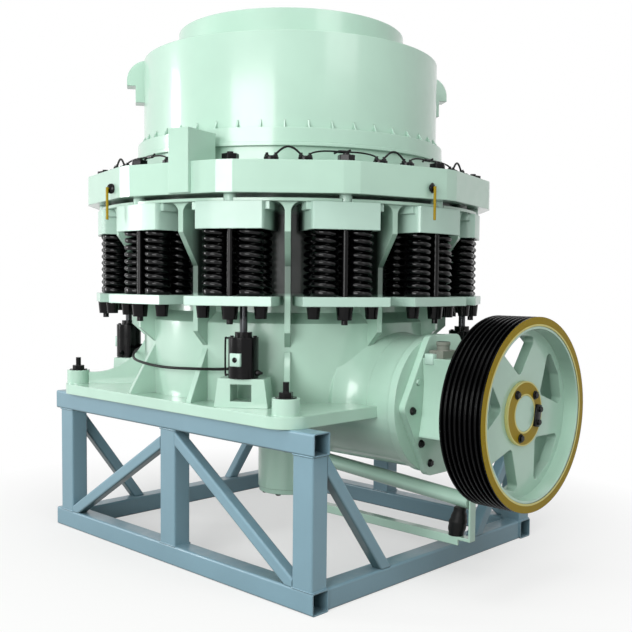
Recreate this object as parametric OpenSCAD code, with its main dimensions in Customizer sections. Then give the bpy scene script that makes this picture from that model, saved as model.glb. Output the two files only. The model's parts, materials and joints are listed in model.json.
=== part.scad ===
// Spring cone crusher on a square-tube stand. Z is up, X runs along the countershaft
// towards the drive pulley, and every length is in millimetres.

/* [Stand] */
// Height of the stand
stand_h = 780; // [500:10:1200]
// Distance from the crusher axis to the open rail ends on the drive side
stand_right = 1050; // [960:5:1200]
// Distance from the crusher axis to the open rail ends on the other side
stand_left = 1017; // [960:5:1200]
// Width of the stand across the drive axis
stand_w = 1760; // [1560:10:2100]
// Side of the square rail tube
rail = 100; // [70:5:120]
// Width of a post along the drive axis
post_w = 120; // [80:5:140]
// Depth of a post
post_d = 96; // [60:2:100]
// Side of the brace tube
brace = 60; // [40:5:80]
// Wall of the stand's tubes
tube_wall = 6; // [3:0.5:10]

/* [Main frame] */
// Half width of the square base flange
flange_half = 925; // [800:5:1000]
// Thickness of the base flange
flange_t = 55; // [35:5:80]
// Outer radius of the shell
shell_r = 805; // [700:5:850]
// Outer radius of the shell behind the springs
barrel_r = 735; // [660:5:760]
// Wall of the shell
shell_wall = 45; // [30:5:60]
// Height of the spring gallery, from the stand's top to the lower spring plates
gallery_z = 523; // [460:1:620]
// Number of spring groups and of the ribs between them
groups = 12; // [12:1:12]
// Thickness of a rib between two spring groups
rib_t = 28; // [16:2:40]

/* [Springs] */
// Height of a spring as fitted, most of a cup's depth above the visible length
spring_h = 403; // [340:1:460]
// Depth of the cup that covers the top of the springs
cup_depth = 98; // [60:2:120]
// Outer diameter of a spring
spring_d = 124; // [100:2:130]
// Wire diameter of a spring
wire_d = 27; // [18:1:32]
// Radius of the outer row of springs
spring_r = 966; // [940:1:990]
// Radius of the inner row of springs
inner_r = 836; // [820:1:850]
// Half the distance between two springs of one row
spring_gap = 80; // [72:1:86]
// Radius of the circle of spring bolts
bolt_circle = 1012; // [1004:1:1024]
// Diameter of a spring bolt
bolt_d = 30; // [20:1:36]

/* [Upper works] */
// Radius of the adjusting ring at its corners, one at each spring bolt
ring_r = 1100; // [1080:1:1120]
// Radius of the adjusting ring at the middle of its flats
flat_r = 1072; // [1060:1:1090]
// Height of the adjusting ring
ring_h = 146; // [120:1:200]
// Radius of the bowl's cylindrical cap
cap_r = 805; // [700:5:850]
// Height of the bowl's cylindrical cap
cap_h = 455; // [300:5:560]
// Radius of the band under the cap
band_r = 838; // [820:1:900]
// Outer radius of the feed hopper
hopper_r = 618; // [500:2:660]
// Height of the feed hopper above the cap
hopper_h = 157; // [100:1:260]
// Wall of the feed hopper and of the cap
plate = 12; // [8:1:20]

/* [Drive] */
// Height of the countershaft above the ground
shaft_z = 831; // [800:1:860]
// Radius of the countershaft box
box_r = 326; // [260:2:340]
// Distance from the base flange's edge to the countershaft box's flange
neck_out = 115; // [60:5:200]
// Distance from the countershaft box's flange to the pulley's outer face
overhang = 537; // [450:1:650]
// Outer radius of the pulley
pulley_r = 439; // [360:1:460]
// Width of the pulley across its grooves
pulley_w = 212; // [180:1:260]
// Number of belt grooves
grooves = 8; // [4:1:8]
// Number of spokes
spokes = 5; // [4:1:6]
// Depth of the pulley's spokes behind its outer face
spoke_in = 72; // [20:2:100]
// Diameter of the countershaft
shaft_d = 110; // [80:2:130]

/* [Hidden] */
$fn = 64;

mint = "#b5dac8";
pale_mint = "#cbe3d7";
stand_blue = "#9fbec3";
black = "#15181a";
gold = "#8d7f22";
steel = "#9aa0a3";
brown = "#6d4a32";

step = 360 / groups;
seat = 0.3;
shaft_play = 0.05;

// Levels, from the ground up
flange_z = stand_h;
flange_top = flange_z + flange_t;
boss_h = 75;
boss_top = flange_top + boss_h;
cone_z = flange_top + 320;
plates_z = stand_h + gallery_z;
plates_t = 44;
springs_z = plates_z + plates_t;
caps_z = springs_z + spring_h - cup_depth;
cup_t = 26;
caps_h = cup_depth + cup_t;
deck_z = caps_z + caps_h;
deck_t = 15;
seat_t = 17;
ring_z = deck_z + deck_t + seat_t;
ring_top = ring_z + ring_h;
clamp_h = 113;
drive_z = ring_top + clamp_h;
drive_h = 70;
cap_z = drive_z + drive_h;
cap_top = cap_z + cap_h;
ring_bore = cap_r - 60;

// Reach of the drive along X, and the middle of the overall box, under which the origin lies
box_end = flange_half + neck_out;
box_bore = box_r - 60;
pulley_x = box_end + overhang;
pulley_back = pulley_x - pulley_w;
rod_r = 6.5;
rod_off = 30;
rod_out = flat_r + seat + rod_off;
rod_along = flat_r * tan(8);
x_mid = (pulley_x - max(ring_r, rod_out * cos(step / 2) + rod_along * sin(step / 2) + rod_r)) / 2;

module around(n = groups, from = 0) {
    for (i = [0 : n - 1]) rotate([0, 0, from + i * 360 / n]) children();
}
module place() { translate([-x_mid, 0, 0]) children(); }

module ring(r_out, r_in, z0, z1) {
    difference() {
        translate([0, 0, z0]) cylinder(r = r_out, h = z1 - z0, $fn = 128);
        translate([0, 0, z0 - 1]) cylinder(r = r_in, h = z1 - z0 + 2, $fn = 128);
    }
}
// A rectangle with round corners, made of true arcs
module soft_rect(w, h, r) {
    square([w - 2 * r, h], center = true);
    square([w, h - 2 * r], center = true);
    for (x = [-1, 1], y = [-1, 1]) translate([x * (w / 2 - r), y * (h / 2 - r)]) circle(r);
}
module tube_section(w, h, r = 10) {
    difference() {
        soft_rect(w, h, r);
        soft_rect(w - 2 * tube_wall, h - 2 * tube_wall, max(r - tube_wall, 2));
    }
}
// Square tubes along X, Y and Z, placed by their low corner
module tube_x(len, w, h) {
    translate([0, w / 2, h / 2]) rotate([90, 0, 90]) linear_extrude(len) tube_section(w, h);
}
module tube_y(len, w, h) {
    translate([w / 2, len, h / 2]) rotate([90, 0, 0]) linear_extrude(len) tube_section(w, h);
}
module tube_z(len, w, d) {
    translate([w / 2, d / 2, 0]) linear_extrude(len) tube_section(w, d, 8);
}

// ---- Stand ----
half_w = stand_w / 2;
top_z = stand_h - rail;
bay_h = top_z - rail;
post_inset = 8;
post_right = stand_right - post_inset - post_w;
post_left = -stand_left + 45;
post_mid = (post_left + post_right) / 2;
post_rows = [post_left, post_mid, post_right];
module long_rail(z, side) {
    y = side < 0 ? -half_w : half_w - rail;
    color(stand_blue) translate([-stand_left, y, z]) tube_x(stand_left + stand_right, rail, rail);
}
module cross_rail(x, z) {
    color(stand_blue) translate([x, rail - half_w, z]) tube_y(stand_w - 2 * rail, rail, rail);
}
module stand_bottom_long_rails() { for (side = [-1, 1]) long_rail(0, side); }
module stand_top_long_rails() { for (side = [-1, 1]) long_rail(top_z, side); }
module stand_bottom_cross_rails() {
    for (x = [post_left, stand_right - post_inset - rail]) cross_rail(x, 0);
}
module stand_top_cross_rail() { cross_rail(post_left, top_z); }
module stand_posts() {
    color(stand_blue) for (x = post_rows, side = [0, 1])
        mirror([0, side, 0]) translate([x, -half_w + 2, rail]) tube_z(bay_h, post_w, post_d);
}
// A brace whose centre line runs from a head to a foot, both given as [along, height]
module brace_line(head, foot) {
    run = head - foot;
    slope = atan2(run[1], run[0]);
    translate([foot[0], 0, foot[1]]) rotate([0, -slope, 0])
        translate([-rail, 0, -brace / 2]) tube_x(norm(run) + 2 * rail, brace, brace);
}
module front_brace(post, head_z, foot_x) {
    x0 = min(post, foot_x);
    intersection() {
        translate([x0, -half_w - 1, rail]) cube([abs(foot_x - post), rail + 2, bay_h]);
        translate([0, 2 - half_w, 0]) brace_line([post, head_z], [foot_x, rail]);
    }
}
head_low = top_z - 74;
head_high = top_z - 44;
module front_braces() {
    color(stand_blue) {
        front_brace(post_mid, head_low, post_left + post_w);
        front_brace(post_mid + post_w, head_high, post_right);
    }
}
module stand_braces_front() { front_braces(); }
module stand_braces_back() { mirror([0, 1, 0]) front_braces(); }
side_reach = 400;
module side_brace(x) {
    y0 = -half_w + 2 + post_d;
    intersection() {
        translate([x - 1, y0, rail]) cube([rail + 2, side_reach + rail, bay_h]);
        translate([x, y0, 0]) multmatrix([[0, 1, 0, 0], [1, 0, 0, 0], [0, 0, 1, 0], [0, 0, 0, 1]])
            brace_line([0, head_high], [side_reach, rail]);
    }
}
module stand_braces_sides() {
    color(stand_blue) for (side = [0, 1]) mirror([0, side, 0]) {
        side_brace(stand_right - post_inset - brace);
        side_brace(post_left);
    }
}

// ---- Main frame ----
boss_r = 62;
boss_at = 842;
bolt_hole = 17;
gusset_top = flange_top + 255;
gusset_angles = [75, 105, 165, 195, 255, 285];
deck_r = 1036;
seat_r = 800;
rib_out = 1000;
rib_head_in = 860;
rib_waist = 885;
arch_r = 46;
bolt_way = bolt_d / 2 + 6;
sleeve_r = bolt_way + 9;
flare_r = 170;
flare_end = shell_r + 55;
flare_start = shell_r - 115;

hub_r = 171;
frame_hub_r = 300;
module flange_plate() {
    linear_extrude(flange_t) difference() {
        soft_rect(2 * flange_half, 2 * flange_half, 120);
        circle(r = shell_r - 20, $fn = 128);
    }
}
module foot_boss() {
    translate([boss_at, boss_at, flange_z + 1]) cylinder(r = boss_r, h = boss_top - flange_z - 1);
}
// A fin from the shell to a corner boss, with a dipped top edge
module corner_fin() {
    far = boss_at * sqrt(2) - boss_r / 2;
    dip_r = 330;
    rotate([90, 0, 45]) translate([0, 0, -14]) linear_extrude(28) difference() {
        translate([shell_r - 20, flange_top - 10]) square([far - shell_r + 20, gusset_top - flange_top]);
        translate([far - 48, boss_top + dip_r - 12]) circle(r = dip_r, $fn = 96);
    }
}
// A three-cornered gusset from the shell to the edge of the flange
module foot_gusset() {
    rotate([90, 0, 0]) translate([0, 0, -rib_t / 2]) linear_extrude(rib_t)
        polygon([[shell_r - 20, flange_top - 10], [flange_half + 15, flange_top - 10],
            [flange_half + 15, flange_top + 8], [shell_r, gusset_top], [shell_r - 20, gusset_top]]);
}
// Half section of the shell, from the flange up to the deck that carries the adjusting ring
module shell_profile() {
    in_low = shell_r - shell_wall;
    in_high = barrel_r - shell_wall;
    polygon([[in_low, flange_z], [shell_r, flange_z], [shell_r, cone_z + 60],
        [barrel_r, cone_z + 110], [barrel_r, deck_z], [deck_r, deck_z], [deck_r, deck_z + deck_t],
        [seat_r, deck_z + deck_t], [seat_r, ring_z], [in_high, ring_z], [in_high, cone_z + 60],
        [in_low, cone_z - 40]]);
}
// A rib between two spring groups, stepped in below the springs' middle, its head spread
// under the deck by two quarter arches
module gallery_rib() {
    rotate([90, 0, 0]) translate([0, 0, -rib_t / 2]) linear_extrude(rib_t)
        polygon([[barrel_r - 20, cone_z - 60], [shell_r - 10, cone_z - 60], [rib_waist, cone_z + 20],
            [rib_waist, springs_z + 140], [rib_out, caps_z - 10], [rib_out, deck_z + 5],
            [barrel_r - 20, deck_z + 5]]);
    translate([rib_head_in, 0, deck_z]) rotate([90, 0, 90]) linear_extrude(rib_out - rib_head_in)
        difference() {
            translate([-arch_r - rib_t / 2 + 1, -arch_r]) square([2 * arch_r + rib_t - 2, arch_r + 5]);
            for (s = [-1, 1]) translate([s * (arch_r + rib_t / 2), -arch_r]) circle(r = arch_r);
        }
}
// The neck that carries the countershaft box, flared where it meets the shell
module neck() {
    shaft_axis() {
        translate([0, 0, frame_hub_r - 20]) cylinder(r = box_r, h = box_end - frame_hub_r + 20);
        translate([0, 0, box_end - 42]) cylinder(r = box_r + 12, h = 42, $fn = 96);
    }
    intersection() {
        shaft_axis() rotate_extrude($fn = 96) difference() {
            translate([0, flare_start]) square([box_r + flare_r / 2, flare_end - flare_start]);
            translate([box_r + flare_r + 2, flare_end]) circle(r = flare_r, $fn = 96);
        }
        translate([0, -flange_half, flange_z + 5]) cube([2 * shell_r, 2 * flange_half, box_r * 3]);
    }
}
arm_w = 80;
arm_h = 260;
module frame_arm() {
    arm_len = shell_r - shell_wall + 40 - frame_hub_r;
    translate([frame_hub_r - 20, -arm_w / 2, flange_z + 20]) cube([arm_len, arm_w, arm_h]);
}
module main_frame() {
    color(mint) difference() {
        union() {
            rotate_extrude($fn = 128) shell_profile();
            translate([0, 0, flange_z]) flange_plate();
            around(4) foot_boss();
            around(4) corner_fin();
            for (a = gusset_angles) rotate([0, 0, a]) foot_gusset();
            around(groups, step / 2) gallery_rib();
            translate([0, 0, flange_z - 30]) cylinder(r = frame_hub_r, h = 400);
            for (a = [90, 180, 270]) rotate([0, 0, a]) frame_arm();
            neck();
        }
        shaft_axis() translate([0, 0, frame_hub_r + 20]) cylinder(r = box_bore, h = 1200);
        around(4) translate([boss_at, boss_at, flange_z - 1]) cylinder(r = bolt_hole, h = 200);
        around() translate([bolt_circle, 0, deck_z - 1]) cylinder(r = sleeve_r + 2, h = 200);
    }
}
module foundation_bolts() {
    color(black) for (x = [-1, 1], y = [-1, 1]) translate([x * boss_at, y * boss_at, 0]) {
        translate([0, 0, top_z + rail]) cylinder(r = bolt_hole - 3, h = boss_top + 70 - stand_h);
        translate([0, 0, boss_top]) cylinder(r = 32, h = 26, $fn = 6);
    }
}
hub_bottom = 262;
module lower_hub() {
    color(mint) translate([0, 0, hub_bottom]) cylinder(r = hub_r, h = flange_z - 30 - hub_bottom, $fn = 96);
}
module bottom_cover() {
    color(mint) translate([0, 0, hub_bottom - 26]) cylinder(r = hub_r - 6, h = 26, $fn = 96);
}
// The round housing that slides into the frame's neck, with a six-sided flange at its end
box_flange_t = 34;
flange_side = 304;
flange_foot = 113;
flange_reach = 337;
corner_r = 45;
// Outline of the flange: flats above and below, and a rounded corner at each side
module box_flange() {
    inner = [[corner_r - flange_side, 0], [-flange_foot + 20, corner_r - flange_reach],
        [flange_foot - 20, corner_r - flange_reach], [flange_side - corner_r, 0],
        [flange_foot - 20, flange_reach - corner_r], [20 - flange_foot, flange_reach - corner_r]];
    rounded_outline(inner, corner_r);
}
// A convex outline grown by r all round, given counter-clockwise
module rounded_outline(points, r) {
    n = len(points);
    polygon(points);
    for (i = [0 : n - 1]) {
        a = points[i];
        b = points[(i + 1) % n];
        out = (r - 0.02) / norm(b - a) * [b[1] - a[1], a[0] - b[0]];
        polygon([a, a + out, b + out, b]);
        translate(a) circle(r = r);
    }
}
module countershaft_box() {
    color(mint) difference() {
        union() {
            shaft_axis() translate([0, 0, frame_hub_r + 40])
                cylinder(r = box_bore - seat, h = box_end - frame_hub_r - 35);
            translate([box_end, 0, shaft_z]) rotate([90, 0, 90]) linear_extrude(box_flange_t) box_flange();
        }
        shaft_axis() cylinder(r = shaft_d / 2 + 40, h = box_end + 100);
    }
}
// The bearing housing outside the flange, waisted at its sides, with a level seat for the breather
box_front = box_end + box_flange_t;
housing_half = 165;
housing_low = -141;
housing_top = 233;
housing_end = pulley_back - 68;
waist_r = 900;
module box_end_cover() {
    color(mint) difference() {
        translate([box_front, 0, shaft_z]) rotate([90, 0, 90]) linear_extrude(housing_end - box_front)
            difference() {
                translate([-housing_half - 30, housing_low])
                    square([2 * housing_half + 60, housing_top - housing_low]);
                for (s = [-1, 1]) translate([s * (housing_half + waist_r), 100])
                    circle(r = waist_r, $fn = 128);
            }
        shaft_axis() cylinder(r = shaft_d / 2 + shaft_play, h = 2000);
    }
}
breather_z = shaft_z + housing_top;
module breather() {
    color(brown) translate([box_front + 20, -150, breather_z]) {
        cube([80, 110, 36]);
        translate([40, 55, 36]) cylinder(r = 30, h = 40);
    }
}

// ---- Springs ----
cup_half = 165;
cup_in = 760;
cup_out = 1060;
cup_face = 1050;
cup_wall = 14;
ear_half = 185;
// Plan of a cup, its outer side curved with the ring and its corners round
module cup_plan(wall) {
    intersection() {
        translate([(cup_in + cup_out) / 2, 0])
            soft_rect(cup_out - cup_in - 2 * wall, 2 * (cup_half - wall), 45 - wall);
        circle(r = cup_face - wall, $fn = 128);
    }
}
module spring_cap() {
    difference() {
        union() {
            translate([0, 0, caps_z]) linear_extrude(caps_h) cup_plan(0);
            translate([930, -ear_half, deck_z - 36]) cube([80, 2 * ear_half, 36]);
            translate([bolt_circle, 0, deck_z - 10]) cylinder(r = sleeve_r, h = ring_z - deck_z + 10 - seat);
        }
        translate([0, 0, caps_z - 1]) linear_extrude(cup_depth + 1) cup_plan(cup_wall);
        translate([bolt_circle, 0, 0]) cylinder(r = bolt_way, h = 4000);
    }
}
module spring_caps() { color(pale_mint) around() spring_cap(); }
coils = 12;
// Half section of a spring: its coils as ribs that nearly touch
function coil_side(i, pitch, mean) = [for (a = [-60 : 30 : 60])
    [mean + wire_d / 2 * cos(a), (i + 0.5) * pitch + wire_d / 2 * sin(a)]];
module spring() {
    pitch = spring_h / coils;
    mean = (spring_d - wire_d) / 2;
    side = [for (i = [0 : coils - 1]) each coil_side(i, pitch, mean)];
    rotate_extrude($fn = 48) polygon(concat([[mean - wire_d / 2, 0], [mean, 0]], side,
        [[mean, spring_h], [mean - wire_d / 2, spring_h]]));
}
module outer_springs() {
    color(black) around() for (s = [-1, 1]) translate([spring_r, s * spring_gap, springs_z]) spring();
}
module inner_springs() {
    color(black) around() for (s = [-1, 1]) translate([inner_r, s * (spring_gap - 5), springs_z]) spring();
}
// A sector plate whose sides stay clear of the ribs on either hand
plate_in = 760;
plate_out = 1052;
plate_gap = 24;
function plate_half(r) = r * tan(step / 2) - plate_gap / cos(step / 2) - (r > 900 ? 48 : 0);
module spring_plate() {
    linear_extrude(plates_t) difference() {
        polygon([[plate_in, -plate_half(plate_in)], [plate_out, -plate_half(plate_out)],
            [plate_out, plate_half(plate_out)], [plate_in, plate_half(plate_in)]]);
        translate([bolt_circle, 0]) circle(d = bolt_d + 1);
    }
}
module spring_plates() { color(pale_mint) around() translate([0, 0, plates_z]) spring_plate(); }
// Tapered nuts that hold the plate's guides
module plate_nuts() {
    color(black) around() for (s = [-1, 1])
        translate([985, s * 140, plates_z - 58]) cylinder(r1 = 27, r2 = 33, h = 58, $fn = 32);
}
bolt_low = plates_z - 84;
bolt_top = ring_top + 44;
nut_r = 40;
module spring_bolts() {
    color(steel) around() translate([bolt_circle, 0, 0]) {
        translate([0, 0, bolt_low]) cylinder(d = bolt_d, h = bolt_top - bolt_low);
        translate([0, 0, plates_z - 62]) cylinder(r1 = nut_r - 6, r2 = nut_r, h = 62, $fn = 32);
        translate([0, 0, ring_top]) cylinder(r = nut_r, h = 34, $fn = 6);
    }
}

// ---- Upper works ----
// Twelve flats that meet in a rounded corner at each spring bolt
module adjusting_ring() {
    outer = flat_r / cos(step / 2);
    color(mint) difference() {
        translate([0, 0, ring_z]) linear_extrude(ring_h) intersection() {
            polygon([for (i = [0 : groups - 1]) outer * [cos(i * step), sin(i * step)]]);
            circle(r = ring_r, $fn = 128);
        }
        translate([0, 0, ring_z - 1]) cylinder(r = ring_bore, h = ring_h + 2, $fn = 128);
        around() translate([bolt_circle, 0, ring_z - 1]) cylinder(d = bolt_d + 1, h = ring_h + 2);
    }
}
lip_h = 17;
module clamp_ring() {
    color(mint) {
        ring(band_r - 13, ring_bore, ring_top, drive_z - lip_h);
        ring(band_r + 9, ring_bore, drive_z - lip_h, drive_z);
    }
}
// Pairs of flat clamp cylinders over each flat of the ring, left out beside the lock block
lock_flat = -75;
lock_along = 55;
lock_angle = lock_flat + atan(lock_along / flat_r);
clamp_swing = 4.5;
clamp_at = 985;
module clamp_cylinders() {
    color(black) for (i = [0 : groups - 1], s = [-1, 1]) {
        angle = (i + 0.5) * step + s * clamp_swing;
        near = abs((angle - lock_angle + 540) % 360 - 180);
        if (near > 6) rotate([0, 0, angle]) translate([clamp_at, 0, ring_top])
            cylinder(r = 34, h = 22, $fn = 32);
    }
}
// The band under the cap, with a row of small gussets up to the cap's wall
fins = 45;
module drive_ring() {
    color(mint) {
        ring(band_r, ring_bore, drive_z, cap_z);
        around(fins, 1.5) rotate([90, 0, 0]) translate([0, 0, -4]) linear_extrude(8)
            polygon([[cap_r + seat, cap_z - 5], [band_r - 6, cap_z - 5], [cap_r + seat, cap_z + 40]]);
    }
}
// The cap, with two lifting ears near its top
ear_angles = [-125, 55];
ear_w = 90;
ear_out = 110;
module lifting_ear() {
    base = cap_top - 112;
    inner = cap_r - 20;
    rotate([90, 0, 0]) translate([0, 0, -ear_w / 2]) linear_extrude(ear_w) {
        intersection() {
            translate([inner, base]) square([ear_out, 112]);
            translate([inner, base]) circle(r = ear_out, $fn = 64);
        }
        translate([inner, base - 26]) square([ear_out, 28]);
        translate([inner, base - 113]) square([65, 90]);
    }
}
module bowl_cap() {
    color(mint) difference() {
        union() {
            translate([0, 0, cap_z]) cylinder(r = cap_r, h = cap_h, $fn = 128);
            for (a = ear_angles) rotate([0, 0, a]) lifting_ear();
        }
        translate([0, 0, cap_z - 1])
            cylinder(r1 = bowl_mouth_r, r2 = hopper_r - plate, h = cap_h + 2, $fn = 96);
    }
}
module feed_hopper() { color(mint) ring(hopper_r, hopper_r - plate, cap_top, cap_top + hopper_h); }
// The bowl and its liner: threaded into the ring above, tapered towards the mantle below
bowl_low = cone_z + 175;
bowl_throat_z = ring_z + 110;
bowl_mouth_r = 560;
module bowl_liner() {
    outer = ring_bore - seat;
    skirt_r = barrel_r - shell_wall - 15;
    color(steel) rotate_extrude($fn = 96) polygon([[skirt_r - 12, bowl_low], [skirt_r, bowl_low],
        [skirt_r, ring_z + 10], [outer, ring_z + 10], [outer, cap_z], [bowl_mouth_r, cap_z],
        [430, bowl_throat_z]]);
}
mantle_z = flange_z + 370;
feed_plate_z = bowl_throat_z + 40;
module mantle() {
    color(steel) rotate_extrude($fn = 96) polygon([[0, mantle_z], [260, mantle_z], [260, bowl_low - 50],
        [barrel_r - shell_wall - 70, bowl_low - 50], [barrel_r - shell_wall - 75, bowl_low - 20],
        [200, feed_plate_z], [0, feed_plate_z]]);
}
module feed_plate() {
    color(steel) translate([0, 0, feed_plate_z]) cylinder(r = 220, h = 40);
}
// A block that stands on the adjusting ring and laps down over one of its flats
lock_half = 56;
module lock_block() {
    face = flat_r + seat;
    color(mint) rotate([0, 0, lock_flat]) translate([0, lock_along + lock_half, 0]) rotate([90, 0, 0])
        linear_extrude(2 * lock_half) polygon([[880, ring_top], [face, ring_top], [face, ring_z + 4],
            [face + 18, ring_z + 4], [face + 18, ring_top + 150], [880, ring_top + 150]]);
}
// Setting rods hang from knobs on every third flat
knob_z = ring_z + 50;
knob_t = 22;
knob_r = 25;
module at_knobs() {
    around(4, -step / 2) translate([flat_r + seat, rod_along, knob_z]) children();
}
module setting_knobs() {
    color(black) at_knobs() rotate([0, 90, 0]) cylinder(r = knob_r, h = knob_t);
}
module setting_rods() {
    color(gold) at_knobs() {
        translate([knob_t, 0, 0]) rotate([0, 90, 0]) cylinder(r = 5, h = rod_off - knob_t);
        translate([rod_off, 0, -150]) cylinder(r = rod_r, h = 156);
    }
}

// ---- Release jacks ----
jack_angles = [-57, 33, 123, 213];
jack_at = 965;
jack_r = 70;
jack_base = flange_top + 135;
jack_h = 190;
jack_bore = 18;
hose_r = shell_r + 63;
hose_z = jack_base + 60;
hose_d = 22;
module at_jacks() { for (a = jack_angles) rotate([0, 0, a]) translate([jack_at, 0, 0]) children(); }
// Cast seats on the flange, wider at the foot
module jack_brackets() {
    color(mint) at_jacks() rotate([90, 0, 90]) translate([0, 0, -75]) linear_extrude(120)
        difference() {
            polygon([[-128, flange_top], [128, flange_top], [110, jack_base], [-110, jack_base]]);
            translate([-50, flange_top + 30]) square([100, 78]);
        }
}
module jack_cylinders() {
    color(black) at_jacks() translate([0, 0, jack_base]) {
        difference() {
            union() {
                cylinder(r = jack_r, h = jack_h);
                translate([0, 0, jack_h - 1]) cylinder(r = 40, h = 24);
            }
            translate([0, 0, 60]) cylinder(r = jack_bore + 0.1, h = 400);
        }
        translate([0, 0, hose_z - jack_base]) rotate([0, -90, 0])
            cylinder(r = 13, h = jack_at - hose_r - hose_d / 2 - seat);
    }
}
rod_low = jack_base + 100;
module jack_rods() {
    color(steel) at_jacks() translate([0, 0, rod_low]) cylinder(r = jack_bore, h = plates_z - rod_low);
}
module jack_hose() {
    color(black) rotate([0, 0, jack_angles[1]]) translate([0, 0, hose_z])
        rotate_extrude(angle = 270, $fn = 128) translate([hose_r, 0]) circle(d = hose_d);
}

// ---- Oil drain ----
pipe_r = 38;
pipe_z = 455;
pipe_fall = 4;
pipe_start = hub_r + seat + pipe_r * sin(pipe_fall);
strap_x = pulley_back - 120;
function pipe_z_at(x) = pipe_z - (x - pipe_start) * tan(pipe_fall);
module oil_drain_pipe() {
    color(mint) translate([pipe_start, 0, pipe_z]) rotate([0, 90 + pipe_fall, 0])
        cylinder(r = pipe_r, h = (strap_x - 4 - pipe_start) / cos(pipe_fall));
}
boot_x = strap_x - 73;
foot_z = 195;
module drain_hose() {
    color(black) translate([boot_x, 0, foot_z + 8])
        cylinder(r = 46, h = pipe_z_at(boot_x + 46) - pipe_r / cos(pipe_fall) - seat - foot_z - 8);
}
bar_z = 160;
module drain_bracket() {
    color(mint) {
        translate([hub_side, -22, foot_z - 8]) cube([strap_x + 10 - hub_side, 44, 16]);
        translate([hub_side, -22, bar_z]) cube([strap_x - 60 - hub_side, 10, foot_z - bar_z]);
        translate([strap_x, -22, foot_z - 8]) cube([10, 44, 240]);
    }
}
hub_side = 120;

// ---- Drive ----
module shaft_axis() { translate([0, 0, shaft_z]) rotate([0, 90, 0]) children(); }
web_face = pulley_w - spoke_in;
hub_face = web_face + 17;
hub_floor = hub_face - 12;
shaft_start = 900;
module countershaft() {
    color(steel) shaft_axis() translate([0, 0, shaft_start])
        cylinder(d = shaft_d, h = pulley_back + hub_floor - shaft_start);
}
groove_pitch = 25.5;
module groove_row() {
    edge = (pulley_w - groove_pitch * grooves) / 2;
    for (i = [0 : grooves - 1]) translate([pulley_r, edge + (i + 0.5) * groove_pitch])
        polygon([[1, -10], [1, 10], [-18, 6], [-18, -6]]);
}
rim = 42;
module at_pulley() { shaft_axis() translate([0, 0, pulley_back]) children(); }
module pulley() {
    color(black) at_pulley() rotate_extrude($fn = 128) difference() {
        translate([pulley_r - rim, 0]) square([rim, pulley_w]);
        groove_row();
    }
}
// The wheel inside the rim: a drum, a web with a window between each two spokes, and a hub
hub_outer = 140;
hub_bore = 100;
drum_t = 12;
web_t = 50;
window_in = 204;
window_turn = 8;
module window() {
    reach = pulley_r - rim - drum_t - 51;
    half = 180 / spokes - 17;
    side = reach - 4;
    rounded_outline([[window_in, 0], [side * cos(half), -side * sin(half)], [reach, 0],
        [side * cos(half), side * sin(half)]], 24);
}
module pulley_web() {
    drum_r = pulley_r - rim - seat / 10;
    color(mint) at_pulley() difference() {
        union() {
            rotate_extrude($fn = 128) translate([drum_r - drum_t, 1]) square([drum_t, pulley_w - 4]);
            translate([0, 0, web_face - web_t]) cylinder(r = drum_r - 4, h = web_t, $fn = 128);
            translate([0, 0, 8]) cylinder(r = hub_outer, h = web_face - web_t);
        }
        for (i = [0 : spokes - 1]) rotate([0, 0, 180 + window_turn + i * 360 / spokes])
            translate([0, 0, web_face - web_t - 1]) linear_extrude(web_t + 2) window();
        cylinder(r = hub_bore, h = 400);
    }
}
// A flanged bush between hub and shaft, its face sunk for the cap over the shaft's end
bush_flange_r = 147;
cap_seat_r = 82;
module pulley_bush() {
    bore = shaft_d / 2;
    sleeve = hub_bore - seat / 10;
    color(gold) at_pulley() rotate_extrude($fn = 96) polygon([[bore, 0], [sleeve, 0], [sleeve, web_face],
        [bush_flange_r, web_face], [bush_flange_r, hub_face], [cap_seat_r, hub_face],
        [cap_seat_r, hub_floor], [bore, hub_floor]]);
}
module shaft_cap() {
    color(mint) at_pulley() translate([0, 0, hub_floor])
        cylinder(r = cap_seat_r - seat, h = hub_face - hub_floor - 2);
}

place() stand_bottom_long_rails();
place() stand_bottom_cross_rails();
place() stand_top_long_rails();
place() stand_top_cross_rail();
place() stand_posts();
place() stand_braces_front();
place() stand_braces_back();
place() stand_braces_sides();
place() foundation_bolts();
place() main_frame();
place() lower_hub();
place() bottom_cover();
place() countershaft_box();
place() box_end_cover();
place() breather();
place() spring_caps();
place() outer_springs();
place() inner_springs();
place() spring_plates();
place() plate_nuts();
place() spring_bolts();
place() adjusting_ring();
place() clamp_ring();
place() clamp_cylinders();
place() drive_ring();
place() bowl_cap();
place() feed_hopper();
place() bowl_liner();
place() mantle();
place() feed_plate();
place() lock_block();
place() setting_rods();
place() setting_knobs();
place() jack_brackets();
place() jack_cylinders();
place() jack_rods();
place() jack_hose();
place() oil_drain_pipe();
place() drain_hose();
place() drain_bracket();
place() countershaft();
place() pulley();
place() pulley_web();
place() pulley_bush();
place() shaft_cap();
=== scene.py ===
"""Finish of a spring cone crusher on its stand: paint, coils, fasteners, welds, hoses and a plain studio."""

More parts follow.
